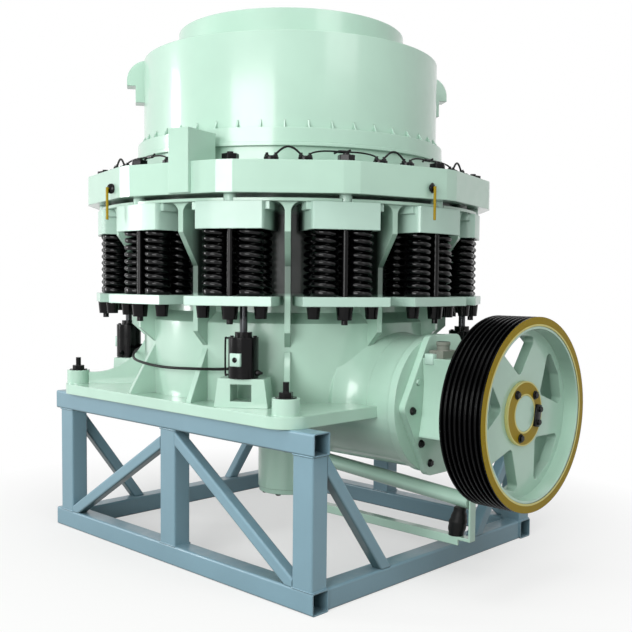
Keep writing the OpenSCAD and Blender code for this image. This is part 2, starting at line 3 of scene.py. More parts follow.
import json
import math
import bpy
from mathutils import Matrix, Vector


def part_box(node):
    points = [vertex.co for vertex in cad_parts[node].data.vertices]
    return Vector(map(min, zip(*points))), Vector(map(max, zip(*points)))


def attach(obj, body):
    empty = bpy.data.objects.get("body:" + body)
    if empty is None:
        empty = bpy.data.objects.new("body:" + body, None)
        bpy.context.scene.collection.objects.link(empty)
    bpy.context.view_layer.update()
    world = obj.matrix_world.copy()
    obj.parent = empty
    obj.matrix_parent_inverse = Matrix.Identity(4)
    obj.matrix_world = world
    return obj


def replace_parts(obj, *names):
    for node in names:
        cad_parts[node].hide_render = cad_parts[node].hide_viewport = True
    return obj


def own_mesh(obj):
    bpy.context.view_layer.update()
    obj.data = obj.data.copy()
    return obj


bl_info = {
    "name": "Spring Cone Crusher",
    "version": (1, 0, 0),
    "blender": (4, 5, 0),
    "location": "View3D > Sidebar > Crusher",
    "description": "Paints a spring cone crusher and adds its coils, fasteners, welds, hoses and a studio",
    "category": "Object",
}

from functools import partial

import bmesh
import bpy
from mathutils import Matrix, Vector

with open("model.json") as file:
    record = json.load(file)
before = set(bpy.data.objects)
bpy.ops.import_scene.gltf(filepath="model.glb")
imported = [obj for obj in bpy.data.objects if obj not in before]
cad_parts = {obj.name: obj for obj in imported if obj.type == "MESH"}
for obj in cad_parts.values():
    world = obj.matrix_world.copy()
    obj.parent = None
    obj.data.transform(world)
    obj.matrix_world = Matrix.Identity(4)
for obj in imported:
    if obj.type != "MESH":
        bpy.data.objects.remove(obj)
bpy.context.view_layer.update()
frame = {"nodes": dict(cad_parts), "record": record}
MM = 0.001


# ---- Places, read from the frame ----


def low_of(node):
    """The lowest corner of a node's box."""
    return Vector(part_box(node)[0])


def high_of(node):
    """The highest corner of a node's box."""
    return Vector(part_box(node)[1])


def middle(node):
    """The centre of a node's box."""
    return (low_of(node) + high_of(node)) / 2


def half_width(node):
    """Half the size of a node along X, which is the outer radius of a ring round the crusher's axis."""
    return (high_of(node).x - low_of(node).x) / 2


def solids(node):
    """The boxes of a node's separate solids, each as its lowest and highest corner."""
    work = bmesh.new()
    work.from_mesh(frame["nodes"][node].data)
    bmesh.ops.remove_doubles(work, verts=work.verts, dist=0.01 * MM)
    seen, boxes = set(), []
    for start in work.verts:
        if start in seen:
            continue
        seen.add(start)
        front, corners = [start], []
        while front:
            corner = front.pop()
            corners.append(corner.co)
            for edge in corner.link_edges:
                other = edge.other_vert(corner)
                if other not in seen:
                    seen.add(other)
                    front.append(other)
        low = Vector([min(c[i] for c in corners) for i in range(3)])
        high = Vector([max(c[i] for c in corners) for i in range(3)])
        boxes.append((low, high))
    work.free()
    return boxes


AXIS = Vector((middle("feed_hopper").x, middle("feed_hopper").y, 0))
RING_TOP = high_of("adjusting_ring").z
SHAFT = Vector((0, middle("pulley").y, middle("pulley").z))


def around(radius, angle, height):
    """A point at a radius and an angle in degrees round the crusher's axis."""
    turn = math.radians(angle)
    return AXIS + Vector((radius * math.cos(turn), radius * math.sin(turn), height))


def outward(angle):
    """The level direction at an angle in degrees from the +X side."""
    turn = math.radians(angle)
    return Vector((math.cos(turn), math.sin(turn), 0))


def angle_of(low, high):
    """The angle in degrees round the crusher's axis of the middle of a box."""
    at = (low + high) / 2 - AXIS
    return math.degrees(math.atan2(at.y, at.x))


def on_shaft(x, radius, clock):
    """A point round the countershaft, its angle read as on a clock from the pulley's end."""
    turn = math.radians(clock)
    return SHAFT + Vector((x, radius * math.sin(turn), radius * math.cos(turn)))


def facing(angle, at):
    """A place at a point, with Z up and X outwards from the crusher's axis at an angle in degrees."""
    return Matrix.Translation(at) @ Matrix.Rotation(math.radians(angle), 4, "Z")


def along(start, end):
    """A place at a point whose Z looks towards another point."""
    return Matrix.Translation(start) @ (end - start).to_track_quat("Z", "Y").to_matrix().to_4x4()


# Turns that lay a place's Z along its X, and along its -Y.
TO_X = Matrix.Rotation(math.pi / 2, 4, "Y")
TO_FRONT = Matrix.Rotation(math.pi / 2, 4, "X")


# ---- Colours and nodes ----


def linear(hex_colour):
    """An sRGB hex colour as linear RGBA."""
    digits = hex_colour.lstrip("#")
    channels = [int(digits[i : i + 2], 16) / 255 for i in (0, 2, 4)]
    return tuple(c / 12.92 if c <= 0.04045 else ((c + 0.055) / 1.055) ** 2.4 for c in channels) + (1.0,)


def add(tree, kind, inputs=(), output=0, **settings):
    """Adds a node with its settings and gives one of its outputs. The inputs come by name or in order. An
    input given as a socket is linked, and one given as a list of sockets is linked to each. A kind without
    Node in its name is a shader node."""
    made = tree.nodes.new(kind if "Node" in kind else "ShaderNode" + kind)
    for name, value in settings.items():
        setattr(made, name, value)
    for name, value in inputs.items() if isinstance(inputs, dict) else enumerate(inputs):
        for each in value if isinstance(value, list) else [value]:
            if isinstance(each, bpy.types.NodeSocket):
                tree.links.new(each, made.inputs[name])
            else:
                made.inputs[name].default_value = each
    return made.outputs[output] if made.outputs else None


def start_material(name):
    """An empty node material, the maker of its nodes, and the Object coordinates in metres."""
    material = bpy.data.materials.new(name)
    material.use_nodes = True
    material.node_tree.nodes.clear()
    node = partial(add, material.node_tree)
    return material, node, node("TexCoord", output="Object")


def close_material(material, node, shader):
    """Ends a material in one Principled shader."""
    surface = node("BsdfPrincipled", shader)
    node("OutputMaterial", {"Surface": surface})
    return material


def fractal(place, size, detail, roughness=0.55):
    """Settings of a noise whose largest features are about size metres across."""
    return {"Vector": place, "Scale": 1 / size, "Detail": detail, "Roughness": roughness}


def blotches(node, pattern, low, high):
    """Patches that are 0 where a noise is below one level and 1 where it is above another."""
    return node("MapRange", (node("TexNoise", pattern, "Fac"), low, high))


def fade(node, value, low, high, first, second):
    """The first colour where a value is below one level, the second where it is above another."""
    share = node("MapRange", (value, low, high))
    return node("Mix", {0: share, 6: first, 7: second}, 2, data_type="RGBA")


# ---- Finishes ----

# Marks in the enamel. A second coat dries in patches of about half a metre, and tools rub patches of 5 cm.
# Real orange peel is 2 to 3 mm across and casting sand 1 to 2 mm. Both are too fine to show, so they are
# drawn coarser.
SECOND_COAT = 0.45
SCUFF = 50 * MM
PEEL = 9 * MM
SAND = 60 * MM
RELIEF = 1.5 * MM
RUBBED_EDGE = 6 * MM
CHALK = "#f6f8f6"
DUST = "#d9d4c8"
THIN = "#f7f7f7"
MULTIPLIED = {"data_type": "RGBA", "blend_type": "MULTIPLY"}

# Painted shade: how deep it reaches into a recess, and its dark green colour over white.
PAINTED_SHADE_REACH = 0.22
PAINTED_SHADE_COLOUR = "#2c4a39"

# Near-black painted shade on the frame behind the springs, where the springs keep the light out. It is
# thinner than full and fades out at its ends.
SPRING_SHADE = "#06100c"
SPRING_SHADE_COVER = 0.93
SPRING_SHADE_RADIUS = 0.93
SPRING_SHADE_FADE = 60 * MM
SPRING_SHADE_END = 20 * MM
SPRING_SHADE_LOW = low_of("outer_springs").z - 5 * MM
SPRING_SHADE_HIGH = high_of("outer_springs").z + 5 * MM

# Bare steel: stains of about 8 cm, and turning marks or sand of 1 to 2 mm, drawn 5 cm across to show.
STAIN = 80 * MM
GRIT = 50 * MM
TURNED_EDGE = 2 * MM

MATERIALS = {}


def lined(node, place, base, lines):
    """Brushes a tint on what lies past a place along X, with a pale line that is a painted highlight on the
    edges, inside one radius round the shaft and outside another."""
    tint, start, line, inner, outer = lines
    across = node("SeparateXYZ", (place,), "X")
    level = node("VectorMath", (place, (0, 1, 1)), operation="MULTIPLY")
    away = node("VectorMath", (level, SHAFT), "Value", operation="DISTANCE")
    face = fade(node, away, inner - 1 * MM, inner + 1 * MM, linear(line), linear(tint))
    face = fade(node, away, outer - 1 * MM, outer + 1 * MM, face, linear(line))
    return fade(node, across, start - 0.2 * MM, start, base, face)


def add_painted_shade(node, place, colour, up, strength):
    """Multiplies a colour by painted shade in recesses and on what faces down, and lays near-black painted
    shade over the frame behind the springs.
    """
    # Painted shade: darker in recesses, found by occlusion, and darker on what faces down.
    open_air = node("AmbientOcclusion", {"Distance": PAINTED_SHADE_REACH}, "AO", samples=6)
    recess = node("MapRange", (open_air, 0.1, 0.5, 0.6 * strength, 0.0))
    under = node("MapRange", (up, 0.1, -0.6, 0.0, 0.85 * strength))
    shade_amount = node("Math", (recess, under), operation="MAXIMUM")
    painted_shade = node("Mix", {0: shade_amount, 6: linear("#ffffff"), 7: linear(PAINTED_SHADE_COLOUR)}, 2, data_type="RGBA")
    dark = node("Mix", {0: 1.0, 6: colour, 7: painted_shade}, 2, **MULTIPLIED)
    centre = node("VectorMath", (place, (1, 1, 0)), operation="MULTIPLY")
    reach = node("VectorMath", (centre, AXIS), "Value", operation="DISTANCE")
    height = node("SeparateXYZ", (place,), "Z")
    # Near-black painted shade behind the springs: inside a radius, between the springs' foot and top.
    spring_shade = node("MapRange", (reach, SPRING_SHADE_RADIUS, SPRING_SHADE_RADIUS - SPRING_SHADE_FADE, 0.0, SPRING_SHADE_COVER))
    for end, inwards in ((SPRING_SHADE_LOW, SPRING_SHADE_END), (SPRING_SHADE_HIGH, -SPRING_SHADE_END)):
        band = node("MapRange", (height, end, end + inwards))
        spring_shade = node("Math", (spring_shade, band), operation="MULTIPLY")
    return node("Mix", {0: spring_shade, 6: dark, 7: linear(SPRING_SHADE)}, 2, data_type="RGBA")


def enamel(
    name, colour,
    sheen=0.33, grain=0.7, bump=0.25, wear=0.25, dust=0.1, coat=0.7, ior=1.45, painted_shade=0.0, lines=None,
):
    """Air-dried machine enamel over castings and plate: the eye sees a wet gloss over a soft sheen, a faint
    orange peel, a patchy second coat, slightly paler rubbed edges, a little pale dust on what faces up,
    painted shade in the recesses and on what faces down, and near-black painted shade on the frame behind the
    springs. Lines are a tint, the place along X where it starts, the colour of a pale line that is a painted
    highlight, and the two radii round the shaft that it keeps to."""
    material, node, place = start_material(name)
    base = lined(node, place, linear(colour), lines) if lines else linear(colour)
    coats = blotches(node, fractal(place, SECOND_COAT, 4.0), 0.35, 0.65)
    shade = node("Mix", {0: coats, 6: linear(THIN), 7: linear("#ffffff")}, 2, data_type="RGBA")
    painted = node("Mix", {0: 1.0, 6: base, 7: shade}, 2, **MULTIPLIED)
    rounded = node("Bevel", {"Radius": RUBBED_EDGE}, "Normal", samples=6)
    flat = node("NewGeometry", output="Normal")
    alike = node("VectorMath", (rounded, flat), "Value", operation="DOT_PRODUCT")
    edge = node("MapRange", (alike, 0.97, 0.8, 0.0, wear))
    scuffs = blotches(node, fractal(place, SCUFF, 5.0, 0.7), 0.45, 0.7)
    rubbed = node("Mix", {0: 0.25, 6: painted, 7: linear(CHALK)}, 2, data_type="RGBA")
    rubbing = node("Math", (edge, scuffs), operation="MULTIPLY")
    worn = node("Mix", {0: rubbing, 6: painted, 7: rubbed}, 2, data_type="RGBA")
    up = node("SeparateXYZ", (rounded,), "Z")
    level = node("MapRange", (up, 0.6, 1.0, 0.0, dust))
    settled = node("Math", (level, scuffs), operation="MULTIPLY")
    finish = node("Mix", {0: settled, 6: worn, 7: linear(DUST)}, 2, data_type="RGBA")
    # Painted shade darkens the colour in recesses, on undersides and behind the springs.
    if painted_shade:
        finish = add_painted_shade(node, place, finish, up, painted_shade)
    peel = node("TexNoise", fractal(place, PEEL, 2.0), "Fac")
    cast = node("TexNoise", fractal(place, SAND, 5.0), "Fac")
    rough = node("Math", (cast, grain), operation="MULTIPLY")
    height = node("Math", (peel, 0.3, rough), operation="MULTIPLY_ADD")
    relief = {"Strength": bump, "Distance": RELIEF, "Height": height, "Normal": rounded}
    shader = {
        "Base Color": finish,
        "Roughness": node("MapRange", (cast, 0.3, 0.7, sheen - 0.05, sheen + 0.08)),
        "Normal": node("Bump", relief, "Normal"),
        "IOR": ior,
        "Coat Weight": coat,
        "Coat Roughness": 0.12,
    }
    return close_material(material, node, shader)


def steel(name, colour, rough=0.3, metallic=1.0):
    """Bare steel, turned or as cast: the eye sees grey metal, stained in patches, with tool marks or sand."""
    material, node, place = start_material(name)
    base = linear(colour)
    dark = tuple(c * 0.6 for c in base[:3]) + (1.0,)
    stains = blotches(node, fractal(place, STAIN, 6.0, 0.65), 0.35, 0.7)
    rounded = node("Bevel", {"Radius": TURNED_EDGE}, "Normal", samples=6)
    streaks = node("TexNoise", fractal(place, GRIT, 4.0), "Fac")
    relief = {"Strength": 0.2, "Distance": 1 * MM, "Height": streaks, "Normal": rounded}
    shader = {
        "Base Color": node("Mix", {0: stains, 6: dark, 7: base}, 2, data_type="RGBA"),
        "Roughness": node("MapRange", (streaks, 0.3, 0.7, rough - 0.08, rough + 0.12)),
        "Normal": node("Bump", relief, "Normal"),
        "Metallic": metallic,
    }
    return close_material(material, node, shader)


class CrusherFinish(bpy.types.PropertyGroup):
    """Colours of the coats of paint."""

    mint: bpy.props.StringProperty(name="Mint", description="Enamel on the crusher", default="#b4d6c4")
    pale_mint: bpy.props.StringProperty(name="Pale mint", description="Enamel on the cups", default="#bad8ca")
    stand: bpy.props.StringProperty(name="Stand", description="Enamel on the stand", default="#7c9dab")
    black: bpy.props.StringProperty(name="Black", description="Enamel on the springs", default="#030304")
    gold: bpy.props.StringProperty(name="Gold", description="Enamel on the pulley's face", default="#957d00")
    # The lip colour is a painted highlight along the edges of the gold.
    lip_highlight: bpy.props.StringProperty(name="Lip", description="Pale line along the gold", default="#d6cf86")
    primer: bpy.props.StringProperty(name="Primer", description="Primer on the breather", default="#7d8278")


# Widths of the pale lines, which are painted highlights on the edges: at the rim's inner edge, round the
# shaft's cap and along the bush's edge. The rim has no highlight at its outer edge, so that line starts
# beyond it.
RIM_HIGHLIGHT = 9 * MM
CAP_HIGHLIGHT = 8 * MM
BUSH_HIGHLIGHT = 6 * MM
BEYOND = 1.0


class CRUSHER_OT_finishes(bpy.types.Operator):
    """Paint every node of the machine"""

    bl_idname = "crusher.finishes"
    bl_label = "Paint and metal"

    def execute(self, context):
        colours = context.scene.crusher_finish
        centre = middle("pulley").y
        wheel = ("pulley", "pulley_web", "pulley_bush", "shaft_cap")
        rim, web, bush, cap = (high_of(node).y - centre for node in wheel)
        face = high_of("pulley").x - 1 * MM
        # The lip lines paint a highlight on the rim's inner edge, round the shaft's cap and along the bush's
        # edge.
        rim_gold_and_highlight = (colours.gold, face, colours.lip_highlight, web + RIM_HIGHLIGHT, rim + BEYOND)
        hub_gold_and_highlight = (colours.gold, 0.0, colours.lip_highlight, cap + CAP_HIGHLIGHT, bush - BUSH_HIGHLIGHT)
        clean = {"wear": 0.0, "dust": 0.0, "coat": 0.0}
        # Dusty primer and moulded hose rubber are the same build, duller, and the rubber has a finer cast.
        MATERIALS.update(
            # Each painted shade strength below darkens an enamel in recesses, on undersides and behind the
            # springs.
            mint_paint=enamel("mint machine enamel", colours.mint, painted_shade=0.6),
            pale_mint_paint=enamel("pale mint machine enamel", colours.pale_mint, coat=0.2, painted_shade=0.4),
            stand_paint=enamel(
                "blue-grey machine enamel", colours.stand, grain=0.2, bump=0.15, coat=0.1, painted_shade=0.9
            ),
            black_paint=enamel(
                "black enamel", colours.black, sheen=0.14, wear=0.03, dust=0.01, coat=0.0, ior=1.28
            ),
            spring_black=enamel(
                "black spring enamel", colours.black, sheen=0.08, bump=0.1, ior=1.34, **clean
            ),
            pulley_black=enamel(
                "black and gold pulley enamel", colours.black,
                sheen=0.22, bump=0.1, wear=0.02, dust=0.0, coat=0.0, ior=1.2, lines=rim_gold_and_highlight,
            ),
            gold_paint=enamel("olive gold enamel", colours.gold, sheen=0.4, coat=0.0, ior=1.3),
            lined_gold=enamel(
                "gold enamel with painted highlight lines", colours.gold, sheen=0.4, coat=0.0, ior=1.3, lines=hub_gold_and_highlight
            ),
            brown_primer=enamel("dusty grey primer", colours.primer, sheen=0.7, coat=0.0, dust=0.5),
            black_rubber=enamel(
                "black hose rubber", "#060707", sheen=0.45, ior=1.3, grain=0.1, wear=0.05, coat=0.0
            ),
            bright_steel=steel("turned and oiled steel", "#4a4c4e"),
            manganese_steel=steel("cast manganese steel", "#77797b", rough=0.5, metallic=0.8),
        )
        for part in frame["record"]["subparts"]:
            node = frame["nodes"][part["node"]]
            node.data.materials.clear()
            node.data.materials.append(MATERIALS[part["material_slot"]])
        frame["nodes"]["pulley_bush"].data.materials[0] = MATERIALS["lined_gold"]
        return {"FINISHED"}


# ---- Making meshes ----


def start_tree(name, *kinds):
    """A Geometry Nodes tree with a Geometry input and output and named inputs for its sizes and material."""
    tree = bpy.data.node_groups.new(name, "GeometryNodeTree")
    for label, kind in (("Geometry", "Geometry"), *kinds, ("Material", "Material")):
        tree.interface.new_socket(label, in_out="INPUT", socket_type="NodeSocket" + kind)
    tree.interface.new_socket("Geometry", in_out="OUTPUT", socket_type="NodeSocketGeometry")
    return tree, partial(add, tree), tree.nodes.new("NodeGroupInput").outputs


def end_tree(tree, geometry, material):
    """Realizes the instances, sets the material and closes the tree."""
    real = add(tree, "GeometryNodeRealizeInstances", (geometry,))
    done = add(tree, "GeometryNodeSetMaterial", {"Geometry": real, "Material": material})
    add(tree, "NodeGroupOutput", (done,))
    return tree


def grow(name, mesh, tree, values, body, slot, place=Matrix()):
    """Runs a tree on a mesh and keeps the result as a plain mesh object that rides on a body."""
    source = bpy.data.objects.new(name + "_source", mesh)
    bpy.context.collection.objects.link(source)
    modifier = source.modifiers.new("Build", "NODES")
    modifier.node_group = tree
    values = dict(values, Material=MATERIALS[slot])
    for item in tree.interface.items_tree:
        if item.in_out == "INPUT" and item.name in values:
            modifier[item.identifier] = values[item.name]
    source.data.update()
    graph = bpy.context.evaluated_depsgraph_get()
    built = bpy.data.meshes.new_from_object(source.evaluated_get(graph))
    bpy.data.objects.remove(source)
    built.transform(place)
    return keep(name, built, body, slot)


def keep(name, mesh, body, slot):
    """Links a finished mesh at the origin and ties it to its body and material slot."""
    mesh.name = name
    piece = bpy.data.objects.new(name, mesh)
    bpy.context.collection.objects.link(piece)
    if not mesh.materials:
        mesh.materials.append(MATERIALS[slot])
    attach(piece, body)
    return piece


def close_mesh(name, work, body, slot):
    """Ends a bmesh in a kept piece, smooth but for its sharp edges."""
    mesh = bpy.data.meshes.new(name)
    work.to_mesh(mesh)
    work.free()
    mesh.shade_smooth()
    mesh.set_sharp_from_angle(angle=math.radians(32))
    return keep(name, mesh, body, slot)


def turned(work, place, profile, sides=24):
    """Adds a solid turned about the place's Z. The profile is (radius, height) pairs from foot to head."""
    profile = [(0, profile[0][1])] + list(profile) + [(0, profile[-1][1])]
    below = None
    for radius, height in profile:
        turns = [2 * math.pi * i / sides for i in range(sides if radius else 1)]
        level = [Vector((radius * math.cos(t), radius * math.sin(t), height)) for t in turns]
        ring = [work.verts.new(place @ at) for at in level]
        if below:
            for i in range(sides):
                j = (i + 1) % sides
                corners = [below[i % len(below)], below[j % len(below)]]
                corners += [ring[j % len(ring)], ring[i % len(ring)]]
                work.faces.new(list(dict.fromkeys(corners)))
        below = ring


def block(work, place, size, edge):
    """Adds a box of a size round the middle of a place, with its edges broken."""
    made = bmesh.ops.create_cube(work, size=1.0, matrix=place @ Matrix.Diagonal((*size, 1)))
    lines = list(dict.fromkeys(line for corner in made["verts"] for line in corner.link_edges))
    bmesh.ops.bevel(work, geom=lines, offset=edge, segments=2, profile=0.5, affect="EDGES")


def smooth_path(points, steps):
    """A smooth path through points, with a number of steps between each two."""
    ends = [2 * points[0] - points[1]] + list(points) + [2 * points[-1] - points[-2]]
    path = []
    for a, b, c, d in zip(ends, ends[1:], ends[2:], ends[3:]):
        for i in range(steps):
            t = i / steps
            point = 2 * b + t * (c - a)
            point += t * t * (2 * a - 5 * b + 4 * c - d)
            point += t * t * t * (3 * b - a - 3 * c + d)
            path.append(point / 2)
    return path + [points[-1]]


def hose(name, path, diameter, body):
    """A hose of a diameter along a path, in black rubber, riding on a body."""
    line = bpy.data.curves.new(name, "CURVE")
    line.dimensions = "3D"
    line.bevel_depth = diameter / 2
    line.bevel_resolution = 2
    line.use_fill_caps = True
    spline = line.splines.new("POLY")
    spline.points.add(len(path) - 1)
    for point, at in zip(spline.points, path):
        point.co = (*at, 1)
    line.materials.append(MATERIALS["black_rubber"])
    piece = bpy.data.objects.new(name, line)
    bpy.context.collection.objects.link(piece)
    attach(piece, body)
    return piece


# ---- Springs ----


class CrusherSprings(bpy.types.PropertyGroup):
    """Sizes of the coil springs."""

    wire: bpy.props.FloatProperty(name="Wire", description="Wire diameter", default=0.027, unit="LENGTH")
    width: bpy.props.FloatProperty(name="Width", description="Outer diameter", default=0.131, unit="LENGTH")
    fitted: bpy.props.FloatProperty(name="Fitted", description="Solid's width", default=0.124, unit="LENGTH")
    turns: bpy.props.IntProperty(name="Turns", description="Turns between the end coils", default=11, min=4)
    gap: bpy.props.FloatProperty(name="Half gap", description="Bolt to coil", default=0.084, unit="LENGTH")
    groups: bpy.props.IntProperty(name="Groups", description="Spring groups round the frame", default=12)


# Steps in a turn and sides of the wire, finer on the row that shows.
COIL_ROWS = (("outer_springs", 22, 8), ("inner_springs", 14, 6))


def spring_tree():
    """Pairs of coil springs round the crusher: spirals between closed end coils, on two rings of points."""
    lengths = ("Turns", "Coil radius", "Wire radius", "Height", "Row radius", "Half gap")
    counts = ("Steps", "Sides", "Groups")
    kinds = [(label, "Float") for label in lengths] + [(label, "Int") for label in counts]
    tree, node, given = start_tree("Coil springs", *kinds)
    wire, steps, radius = given["Wire radius"], given["Steps"], given["Coil radius"]
    ends = node("Math", (wire, 2.0), operation="MULTIPLY")
    rise = node("Math", (given["Height"], ends), operation="SUBTRACT")
    spiral = {"Resolution": steps, "Rotations": given["Turns"], "Height": rise}
    spiral.update({"Start Radius": radius, "End Radius": radius})
    coil = node("GeometryNodeCurveSpiral", spiral)
    end = node("GeometryNodeCurvePrimitiveCircle", {"Resolution": steps, "Radius": radius})
    lift = node("CombineXYZ", {"Z": rise})
    top = node("GeometryNodeTransform", {"Geometry": end, "Translation": lift})
    lines = node("GeometryNodeJoinGeometry", ([coil, end, top],))
    profile = node("GeometryNodeCurvePrimitiveCircle", {"Resolution": given["Sides"], "Radius": wire})
    sweep = {"Curve": lines, "Profile Curve": profile, "Fill Caps": True}
    tube = node("GeometryNodeCurveToMesh", sweep)
    foot = node("CombineXYZ", {"Z": wire})
    spring = node("GeometryNodeTransform", {"Geometry": tube, "Translation": foot})
    spring = node("GeometryNodeSetShadeSmooth", (spring,))
    reach = node("CombineXYZ", (given["Row radius"], given["Half gap"]))
    length = node("VectorMath", (reach,), "Value", operation="LENGTH")
    swing = node("Math", (given["Half gap"], given["Row radius"]), operation="ARCTAN2")
    points = node("GeometryNodeMeshCircle", {"Vertices": given["Groups"], "Radius": length})
    sides = []
    for side in (1.0, -1.0):
        angle = node("Math", (swing, side), operation="MULTIPLY")
        turn = node("CombineXYZ", {"Z": angle})
        ring = node("GeometryNodeTransform", {"Geometry": points, "Rotation": turn})
        sides.append(node("GeometryNodeInstanceOnPoints", {"Points": ring, "Instance": spring}))
    return end_tree(tree, node("GeometryNodeJoinGeometry", (sides,)), given["Material"])


class CRUSHER_OT_springs(bpy.types.Operator):
    """Wind the coil springs in place of their plain solids"""

    bl_idname = "crusher.springs"
    bl_label = "Coil springs"

    def execute(self, context):
        sizes = context.scene.crusher_springs
        tree = spring_tree()
        for node, steps, sides in COIL_ROWS:
            foot, head = low_of(node).z, high_of(node).z
            tall = head - foot
            values = {
                "Turns": float(sizes.turns),
                "Coil radius": (sizes.width - sizes.wire) / 2,
                "Wire radius": sizes.wire / 2,
                "Height": tall,
                "Steps": steps,
                "Sides": sides,
                "Groups": sizes.groups,
                "Row radius": half_width(node) - sizes.fitted / 2,
                "Half gap": sizes.gap,
            }
            place = Matrix.Translation((AXIS.x, AXIS.y, foot))
            name = node.replace("springs", "coils")
            piece = grow(name, bpy.data.meshes.new("seed"), tree, values, "frame", "spring_black", place)
            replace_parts(piece, node)
            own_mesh(piece)
        return {"FINISHED"}


# ---- Bolts ----


class CrusherBolts(bpy.types.PropertyGroup):
    """Across-corner radii of the bolts' heads."""

    flange: bpy.props.FloatProperty(name="Flange", description="Flange bolt", default=0.0175, unit="LENGTH")
    hub: bpy.props.FloatProperty(name="Hub", description="Hub bolt", default=0.017, unit="LENGTH")
    cover: bpy.props.FloatProperty(name="Cover", description="Cover bolt", default=0.015, unit="LENGTH")
    small: bpy.props.FloatProperty(name="Small", description="Small screw", default=0.009, unit="LENGTH")
    ring: bpy.props.FloatProperty(name="Ring", description="Spring bolt's nut", default=0.038, unit="LENGTH")
    base: bpy.props.FloatProperty(name="Base", description="Foundation nut", default=0.03, unit="LENGTH")


# A head's shape as parts of its size: the height of its flats, its top over its corners, and the washer's
# thickness over its radius. A head turns by up to a sixth of a circle at random.
SHOULDER = 0.82
CROWN = 0.87
WASHER = 0.16
SIXTH = 1.05
TURN_SEED = 7

# Where the bolts stand: places on the drive box's flange in millimetres, across and up from the shaft; clocks
# of the hub's bolts; the radii of the bolt circles; the angles of the jack's screws; and how far the
# jack's lid and the foundation washers lie below the tops of their pieces.
FLANGE_BOLTS = ((246, -12), (177, -174), (103, -276))
PAINTED_BOLTS = ((205, 120),)
HUB_CLOCKS = (-38, 47, 198)
HUB_CIRCLE = 0.114
HOUSING_CIRCLE = 0.118
COVER_CIRCLE = 0.14
FEED_CIRCLE = 0.15
JACK_CIRCLE = 0.053
JACK_TURNS = (45.837, 135.791, 225.745, 315.127)
JACK_LID = 0.024
BASE_STUD = 0.07

UP, DOWN, OUT = (0, 0, 0), (math.pi, 0, 0), (0, math.pi / 2, 0)


def bolt_tree():
    """Hexagon heads with broken corners on washers, one at each vertex, turned at random about their axes."""
    labels = ("Head radius", "Head height", "Washer radius", "Washer height")
    kinds = [(label, "Float") for label in labels]
    tree, node, given = start_tree("Hexagon bolts", *kinds, ("Facing", "Vector"))
    radius, height = given["Head radius"], given["Head height"]
    shoulder = node("Math", (height, SHOULDER), operation="MULTIPLY")
    crown = node("Math", (height, shoulder), operation="SUBTRACT")
    narrow = node("Math", (radius, CROWN), operation="MULTIPLY")
    washer, thick = given["Washer radius"], given["Washer height"]
    drums = []
    for sides, foot, head, tall, lift in (
        (6, radius, radius, shoulder, 0.0),
        (6, radius, narrow, crown, shoulder),
        (24, washer, washer, thick, 0.0),
    ):
        sizes = {"Vertices": sides, "Radius Bottom": foot, "Radius Top": head, "Depth": tall}
        up = node("CombineXYZ", {"Z": lift})
        drum = node("GeometryNodeMeshCone", sizes)
        drums.append(node("GeometryNodeTransform", {"Geometry": drum, "Translation": up}))
    bolt = node("GeometryNodeJoinGeometry", (drums,))
    points = node("GeometryNodeMeshToPoints", {"Mesh": given["Geometry"]})
    placed = {"Points": points, "Instance": bolt, "Rotation": given["Facing"]}
    made = node("GeometryNodeInstanceOnPoints", placed)
    spin = node("FunctionNodeRandomValue", {3: SIXTH, "Seed": TURN_SEED}, 1, data_type="FLOAT")
    turn = node("CombineXYZ", {"Z": spin})
    made = node("GeometryNodeRotateInstances", {"Instances": made, "Rotation": turn})
    return end_tree(tree, made, given["Material"])


